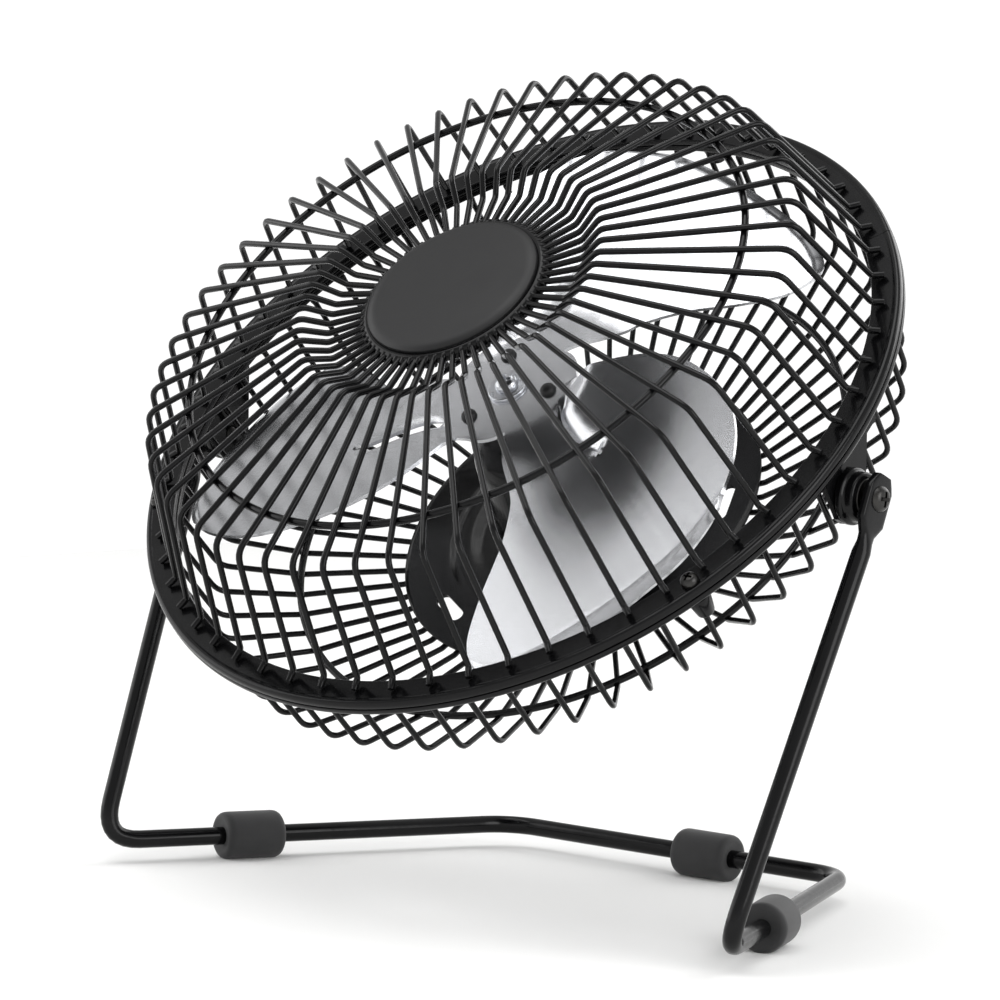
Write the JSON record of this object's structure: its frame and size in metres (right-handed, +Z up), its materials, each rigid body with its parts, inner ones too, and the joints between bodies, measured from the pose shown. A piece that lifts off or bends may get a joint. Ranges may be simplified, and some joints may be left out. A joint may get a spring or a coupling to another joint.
{
  "type": "desk fan",
  "caption": "Small wire-guarded desk fan whose head tilts on a bent steel-rod stand, with a pressed aluminium impeller and rubber feet.",
  "frame": {"origin": "centre of the footprint box on the surface that the feet stand on", "axes": "+Z up, -Y the side the fan blows to, X along the tilt axis, +X at the right of somebody facing the guard"},
  "size_m": [0.192, 0.1496, 0.1845],
  "materials": {
    "black_paint": "gloss black paint",
    "badge_black": "satin black",
    "rubber": "matt",
    "black_screw": "black zinc plate",
    "aluminium": "satin rolled sheet",
    "bright_steel": "bright zinc plate",
    "core_steel": "plain laminations",
    "black_plastic": "fine texture"
  },
  "bodies": {
    "stand": {"stand_frame": "black_paint", "foot_left": "rubber", "foot_right": "rubber", "foot_rear": "rubber"},
    "head": {"front_rim": "black_paint", "rear_rim": "black_paint", "front_grille": "black_paint", "front_support_ring": "black_paint", "rear_grille": "black_paint", "motor_plate": "black_paint", "motor_can": "black_paint", "rim_nut_1": "black_paint", "rim_nut_2": "black_paint", "rim_nut_3": "black_paint", "pivot_bracket_left": "black_paint", "pivot_bracket_right": "black_paint", "pivot_bush_left": "black_paint", "pivot_bush_right": "black_paint", "front_badge": "badge_black", "rim_screw_1": "black_screw", "rim_screw_2": "black_screw", "rim_screw_3": "black_screw", "pivot_washer_left": "black_screw", "pivot_washer_right": "black_screw", "pivot_screw_left": "black_screw", "pivot_screw_right": "black_screw", "front_bearing": "bright_steel", "rear_bearing": "bright_steel", "stator": "core_steel", "motor_rear_cover": "black_plastic", "switch_housing": "black_plastic"},
    "impeller": {"impeller": "aluminium", "hub_boss": "bright_steel", "hub_washer": "bright_steel", "hub_screw": "bright_steel", "motor_shaft": "bright_steel", "rotor": "core_steel"},
    "switch_rocker": {"rocker": "black_plastic"}
  },
  "joints": [
    {"name": "head_tilt", "type": "hinge", "parent": "stand", "child": "head", "pos_m": [0, 0.00315, 0.09728], "axis": [-1, 0, 0], "range_deg": [-66, 44]},
    {"name": "impeller_spin", "type": "hinge", "parent": "head", "child": "impeller", "pos_m": [0, -0.00077, 0.1117], "axis": [0, -0.6947, 0.7193], "continuous": true},
    {"name": "switch_rock", "type": "hinge", "parent": "head", "child": "switch_rocker", "pos_m": [0, 0.04613, 0.07609], "axis": [-1, 0, 0], "range_deg": [0, 12]}
  ]
}
